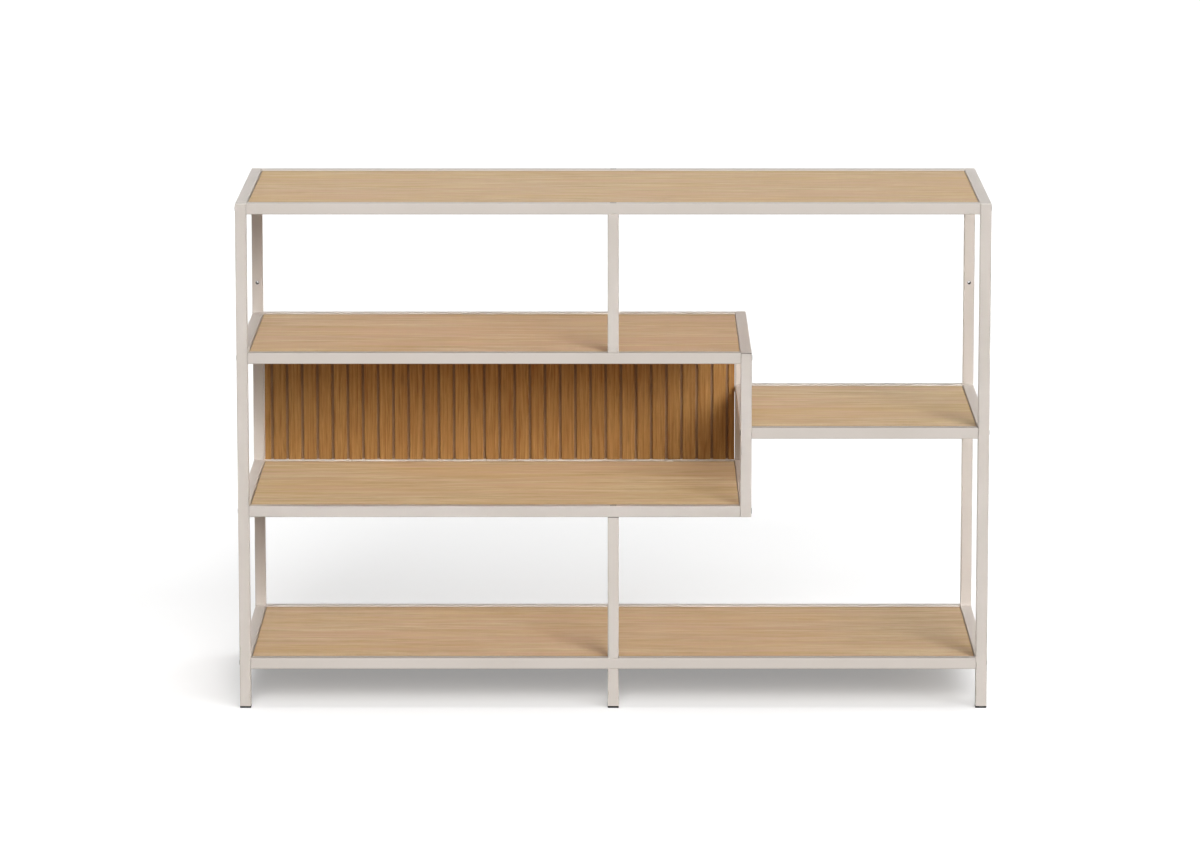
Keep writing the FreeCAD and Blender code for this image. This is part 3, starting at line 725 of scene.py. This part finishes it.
def bare_and_shaded_insides(tree, place):
    """Mask of the rear posts' bare steel, dark as painted shade: the tube's inside, and a narrow rim of painted shade
    round the wall holes.

    Both are measured from the middle of a post, with the left post mirrored onto the right one.
    """
    mirrored = vectors(tree, "ABSOLUTE", place)
    centre = middle("right_rear_post")
    half_tube = (high("right_rear_post") - centre)[0]
    offset = vectors(tree, "ABSOLUTE", vectors(tree, "SUBTRACT", mirrored, tuple(centre)))
    parts = add_node(tree, "SeparateXYZ", {0: offset}).outputs
    inside = maths(tree, "LESS_THAN", maths(tree, "MAXIMUM", parts[0], parts[1]), half_tube - INSIDE_MARGIN)
    fixing = next(mount for mount in frame["record"]["mounts"] if mount["name"] == "wall_fixing")
    hole = (centre[0], centre[1], fixing["pos_m"][2])
    rim_radius = fixing["dims"]["hole_r_mm"] / 1000 + WALL_HOLE_SHADE_RIM
    rim = maths(tree, "LESS_THAN", distance_to(tree, mirrored, hole, (1, 0, 1)), rim_radius)
    return maths(tree, "MAXIMUM", inside, rim)


def head_rim_shade(tree, _):
    """Mask of painted shade round a bolt's head, as in a gap round a flat head and on a low head's rim, by the
    distance from its axis that the mesh carries.
    """
    away = add_node(tree, "Attribute", {}, attribute_name=AXIS_DISTANCE).outputs["Fac"]
    return maths(tree, "GREATER_THAN", away, RIM_GROOVE_RADIUS - FLAT_HEAD_LIP)


def coat_finish(name, groups, light, dark, seams=None, edge_light_share=TUBE_EDGE_LIGHT_SHARE):
    """Satin greige coat with orange peel: painted highlight on upper edges, painted shade on lower ones, and a colour
    of its own at seams.

    Seams is a pair, the function that makes their mask and their colour.
    """
    material, tree, shader, place = new_material(name)
    coat = use_group(tree, groups["coat"], Place=place)
    edges = use_group(tree, groups["edges"])
    tone = mix_colours(tree, spread(tree, coat["Clouds"], 0.3, 0.7), linear(light), linear(dark))
    # Painted highlight on edges that face up, painted shade on edges that face down
    edge_light_tone = mix_colours(tree, edges["Up"], linear(COAT_EDGE_SHADE), linear(COAT_EDGE_HIGHLIGHT))
    colour = mix_colours(tree, maths(tree, "MULTIPLY", edges["Edge"], edge_light_share), tone, edge_light_tone)
    if seams:
        find_seams, seam_colour = seams
        colour = mix_colours(tree, find_seams(tree, place), colour, linear(seam_colour))
    roughness = spread(tree, coat["Grit"], 0.25, 0.75, 0.40, 0.52)
    finish_shader(tree, shader, colour, roughness, coat["Peel"], 0.0001, 0.25)
    return material


def oak_colour(tree, oak, light, dark, pore, weights):
    """Oak's colour: light to dark by the weighted streaks, fibres and figure, with darker flecks and pores."""
    tone = 0.5
    for pattern, weight in weights.items():
        swing = maths(tree, "SUBTRACT", oak[pattern], 0.5)
        tone = maths(tree, "MULTIPLY_ADD", swing, weight, tone)
    wood = mix_colours(tree, spread(tree, tone, 0, 1), linear(light), linear(dark))
    flecked = mix_colours(tree, maths(tree, "MULTIPLY", oak["Flecks"], 0.4), wood, linear(pore))
    return mix_colours(tree, maths(tree, "MULTIPLY", oak["Pores"], 0.3), flecked, linear(pore))


def board_finish(groups):
    """Matt lacquered oak with its grain along the shelf, pale on eased edges and with painted shade along the long
    sides.
    """
    material, tree, shader, place = new_material("oak_boards")
    oak = use_group(tree, groups["oak"], Place=place)
    weights = {"Streaks": 2.9, "Fibres": 1.8, "Figure": 0.35}
    grained = oak_colour(tree, oak, OAK_LIGHT, OAK_DARK, OAK_PORE, weights)
    wood = mix_colours(tree, spread(tree, oak["Patches"], 0.4, 0.7, 0.0, 0.4), grained, linear(OAK_HONEY))
    blushed = mix_colours(tree, spread(tree, oak["Blush"], 0.42, 0.66, 0.0, 0.7), wood, linear(OAK_BLUSH))
    edges = use_group(tree, groups["edges"])["Edge"]
    eased = mix_colours(tree, maths(tree, "MULTIPLY", edges, 0.5), blushed, linear(OAK_EDGE))
    # Painted shade along the boards' long edges
    from_middle = maths(tree, "ABSOLUTE", add_node(tree, "SeparateXYZ", {0: place}).outputs[1])
    long_side = high("top_board")[1]
    band = spread(tree, from_middle, long_side - SHADE_BAND_WIDTH, long_side, 0.0, SHADE_BAND_SHARE)
    colour = mix_colours(tree, band, eased, linear(OAK_SHADE))
    roughness = spread(tree, oak["Fibres"], 0.25, 0.75, 0.58, 0.72)
    shader.inputs["Specular IOR Level"].default_value = OAK_GLOSS_SHARE
    height = maths(tree, "SUBTRACT", maths(tree, "MULTIPLY", oak["Fibres"], 0.4), oak["Pores"])
    finish_shader(tree, shader, colour, roughness, height, 0.00012, 0.35)
    return material


def slat_finish(groups):
    """Oak slats with upright grain: each slat is cut from another place and has its own tone."""
    material, tree, shader, place = new_material("oak_slats")
    parts = add_node(tree, "SeparateXYZ", {0: place}).outputs
    upright = add_node(tree, "CombineXYZ", {0: parts[2], 1: parts[0], 2: parts[1]}).outputs[0]
    from_first = maths(tree, "SUBTRACT", parts[0], FIRST_GROOVE_X)
    number = maths(tree, "FLOOR", maths(tree, "DIVIDE", from_first, SLAT_PITCH))
    draw = add_node(tree, "TexWhiteNoise", {"W": number}, noise_dimensions="1D").outputs
    oak = use_group(tree, groups["oak"], Place=upright, Board=maths(tree, "MULTIPLY", draw["Value"], 9.0))
    weights = {"Streaks": 1.0, "Fibres": 1.5, "Figure": 0.45}
    wood = oak_colour(tree, oak, SLAT_LIGHT, SLAT_DARK, SLAT_PORE, weights)
    shade = spread(tree, draw["Value"], 0, 1, 0.0, 0.22)
    colour = mix_colours(tree, shade, wood, linear(SLAT_DARK))
    roughness = spread(tree, oak["Fibres"], 0.25, 0.75, 0.54, 0.68)
    shader.inputs["Specular IOR Level"].default_value = SLAT_GLOSS_SHARE
    height = maths(tree, "SUBTRACT", maths(tree, "MULTIPLY", oak["Fibres"], 0.4), oak["Pores"])
    finish_shader(tree, shader, colour, roughness, height, 0.00015, 0.4)
    return material


def backing_finish(groups):
    """Brown backing panel behind the slats, with a dull fibrous face."""
    material, tree, shader, place = new_material("backing_panel")
    coat = use_group(tree, groups["coat"], Place=place)
    fibres = noise(tree, place, (260, 260, 40), 3, 0.6)
    colour = mix_colours(tree, spread(tree, fibres, 0.3, 0.7), linear(BACKING_LIGHT), linear(BACKING_DARK))
    roughness = spread(tree, coat["Grit"], 0.25, 0.75, 0.66, 0.8)
    shader.inputs["Specular IOR Level"].default_value = BACKING_GLOSS_SHARE
    finish_shader(tree, shader, colour, roughness, fibres, 0.0001, 0.3)
    return material


def plastic_finish(groups):
    """Black moulded plastic with a fine spark-eroded grain."""
    material, tree, shader, place = new_material("moulded_plastic")
    coat = use_group(tree, groups["coat"], Place=place)
    colour = mix_colours(tree, spread(tree, coat["Clouds"], 0.3, 0.7), linear(PLASTIC_LIGHT), linear(PLASTIC_DARK))
    roughness = spread(tree, coat["Grit"], 0.25, 0.75, 0.6, 0.75)
    shader.inputs["Specular IOR Level"].default_value = PLASTIC_GLOSS_SHARE
    finish_shader(tree, shader, colour, roughness, coat["Peel"], 0.0001, 0.4)
    return material


def zinc_finish(groups):
    """Bright zinc plating, a little clouded."""
    material, tree, shader, place = new_material("zinc_steel")
    coat = use_group(tree, groups["coat"], Place=place)
    clouds = spread(tree, coat["Peel"], 0.3, 0.7)
    colour = mix_colours(tree, clouds, linear(ZINC_LIGHT), linear(ZINC_DARK))
    roughness = spread(tree, coat["Grit"], 0.25, 0.75, 0.28, 0.42)
    shader.inputs["Metallic"].default_value = 1.0
    finish_shader(tree, shader, colour, roughness, coat["Peel"], 0.00003, 0.3)
    return material


def dress_nodes(finishes):
    """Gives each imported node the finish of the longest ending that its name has."""
    for name, node in frame["nodes"].items():
        ending = max((ending for ending in finishes if name.endswith(ending)), key=len)
        node.material_slots[0].material = finishes[ending]


# Studio


def seen_directly(tree):
    """1 for rays that come straight from the camera, or by a mirror or through glass, and 0 for the rest."""
    path = tree.nodes.new("ShaderNodeLightPath").outputs
    bounced = maths(tree, "MAXIMUM", path["Is Glossy Ray"], path["Is Transmission Ray"])
    return maths(tree, "MAXIMUM", path["Is Camera Ray"], bounced)


def make_floor():
    """A wide white floor, lit by the lamps and lifted to plain white where nothing shades it."""
    material = bpy.data.materials.new("white_floor")
    material.use_nodes = True
    tree = material.node_tree
    tree.nodes.remove(tree.nodes["Principled BSDF"])
    plain = add_node(tree, "BsdfDiffuse", {"Color": FLOOR_COLOUR}).outputs[0]
    seen = add_node(tree, "BsdfDiffuse", {"Color": FLOOR_SEEN_COLOUR}).outputs[0]
    glow = add_node(tree, "Emission", {"Color": WHITE, "Strength": FLOOR_SEEN_GLOW}).outputs[0]
    lifted = add_node(tree, "AddShader", {0: seen, 1: glow}).outputs[0]
    mixed = add_node(tree, "MixShader", {0: seen_directly(tree), 1: plain, 2: lifted}).outputs[0]
    tree.links.new(mixed, tree.nodes["Material Output"].inputs["Surface"])
    corners = np.array([(-1, -1, 0), (1, -1, 0), (1, 1, 0), (-1, 1, 0)]) * FLOOR_HALF_SIZE
    mesh = bpy.data.meshes.new("floor")
    mesh.from_pydata(corners.tolist(), [], [tuple(range(len(corners)))])
    mesh.materials.append(material)
    floor = bpy.data.objects.new("floor", mesh)
    bpy.context.scene.collection.objects.link(floor)
    return floor


def make_sky():
    """Even light from all round, white where it is seen directly."""
    world = bpy.data.worlds.new("white_studio")
    world.use_nodes = True
    tree = world.node_tree
    lit = tree.nodes["Background"]
    lit.inputs["Color"].default_value = WHITE
    lit.inputs["Strength"].default_value = SKY_STRENGTH
    seen = add_node(tree, "Background", {"Color": WHITE, "Strength": 1.0}).outputs[0]
    mixed = add_node(tree, "MixShader", {0: seen_directly(tree), 1: lit.outputs[0], 2: seen}).outputs[0]
    tree.links.new(mixed, tree.nodes["World Output"].inputs["Surface"])
    bpy.context.scene.world = world


def make_lamps(floor):
    """Broad distant lamps, each turned to shine from its side and height on one set of pieces.

    The sets are the floor, the whole shelf, the shelf without its shaded pieces, also without the rails that
    the overhead fill leaves out, those of them that a weaker fill lights, and the two boards in most shade.
    """
    shelf = [piece for piece in bpy.context.scene.objects if piece.type == "MESH" and piece != floor]
    side_lit = [piece for piece in shelf if piece.name not in SHADED_PIECES]
    sets = {
        "floor": [floor],
        "shelf": shelf,
        "side_lit": side_lit,
        "inner": [piece for piece in side_lit if piece.name not in UNLIFTED_RAILS + BOARDS],
        "boards": [frame["nodes"][name] for name in BOARDS],
        "half_lit": [frame["nodes"][name] for name in HALF_LIT_RAILS],
        "front_rails": [frame["nodes"][name] for name in FRONT_RAILS],
        "shaded_boards": [frame["nodes"][name] for name in SHADED_BOARDS],
        "shading_posts": [frame["nodes"][name] for name in SHADING_POSTS],
    }
    lit = {name: bpy.data.collections.new(f"lit_{name}") for name in sets}
    for name, pieces in sets.items():
        for piece in pieces:
            lit[name].objects.link(piece)
    for name, plan in LAMPS.items():
        lamp = bpy.data.lights.new(name, "SUN")
        lamp.energy = plan["strength"]
        lamp.angle = math.radians(plan["spread"])
        lamp.color = plan.get("colour", WHITE[:3])
        lamp.use_shadow = plan.get("shadow", True)
        holder = bpy.data.objects.new(name, lamp)
        holder.rotation_euler = (math.radians(90 - plan["height"]), 0, math.radians(plan["side"]))
        holder.light_linking.receiver_collection = lit[plan["lights"]]
        if "blockers" in plan:
            holder.light_linking.blocker_collection = lit[plan["blockers"]]
        holder.visible_glossy = plan.get("gloss", True)
        bpy.context.scene.collection.objects.link(holder)


def make_camera():
    """A long lens square to the front, a little above the top board and pitched down."""
    camera = bpy.data.cameras.new("camera")
    camera.lens = CAMERA_LENS
    camera.shift_x = CAMERA_SHIFT_X
    camera.clip_end = CAMERA_REACH
    holder = bpy.data.objects.new("camera", camera)
    holder.location = CAMERA_PLACE
    holder.rotation_euler = (math.pi / 2 - CAMERA_PITCH, 0, 0)
    bpy.context.scene.collection.objects.link(holder)
    bpy.context.scene.camera = holder


groups = {"edges": make_edge_group(), "coat": make_coat_group(), "oak": make_oak_group()}
coat = coat_finish("greige_coat", groups, COAT_LIGHT, COAT_DARK)
rail_coat = coat_finish("long_rail_coat", groups, COAT_LIGHT, COAT_DARK, (butt_seams, COAT_SEAM))
post_coat = coat_finish("centre_post_coat", groups, COAT_LIGHT, COAT_DARK, (post_seam, POST_SEAM))
# Painted highlight along the front edge of the top corners
top_corner_coat = coat_finish(
    "top_corner_coat", groups, COAT_LIGHT, COAT_DARK, (corner_line("left_front_post"), CORNER_HIGHLIGHT))
cubby_corner_coat = coat_finish(
    "cubby_corner_coat", groups, COAT_LIGHT, COAT_DARK, (corner_line("cubby_end_front_post"), CORNER_SEAM))
# Bare steel inside the rear posts, darkened as painted shade, and painted shade round their wall holes
bored_coat = coat_finish("bored_post_coat", groups, COAT_LIGHT, COAT_DARK, (bare_and_shaded_insides, BARE_STEEL_AND_SHADE))
# Bolts in a darker copy of the frame's coat, painted shade, with painted shade on their heads' rims
bolt_coat = coat_finish("coated_bolts", groups, BOLT_LIGHT, BOLT_DARK, (head_rim_shade, HEAD_RIM_SHADE), BOLT_EDGE_LIGHT_SHARE)
# The weld beads' coat is a darker copy of the frame's coat, painted shade in the inside corners
weld_coat = coat_finish("coated_welds", groups, WELD_LIGHT, WELD_DARK)
zinc = zinc_finish(groups)
finishes = {
    "post": coat, "rail": coat, "front_rail": rail_coat, "rear_rail": rail_coat, "leg": coat, "tabs": coat,
    "centre_front_post": post_coat, "centre_rear_post": post_coat, "bolts": bolt_coat,
    "left_front_post": top_corner_coat, "right_front_post": top_corner_coat, "top_side_rail": top_corner_coat,
    "cubby_end_front_post": cubby_corner_coat, "cubby_end_top_rail": cubby_corner_coat,
    "left_rear_post": bored_coat, "right_rear_post": bored_coat,
    "board": board_finish(groups), "slats": slat_finish(groups), "panel": backing_finish(groups),
    "foot": plastic_finish(groups), "plugs": zinc,
}
dress_nodes(finishes)
make_bolts(bolt_coat)
make_screws(zinc)
make_weld_beads(weld_coat)
floor = make_floor()
make_sky()
make_lamps(floor)
make_camera()
bpy.context.scene.view_settings.view_transform = "Standard"
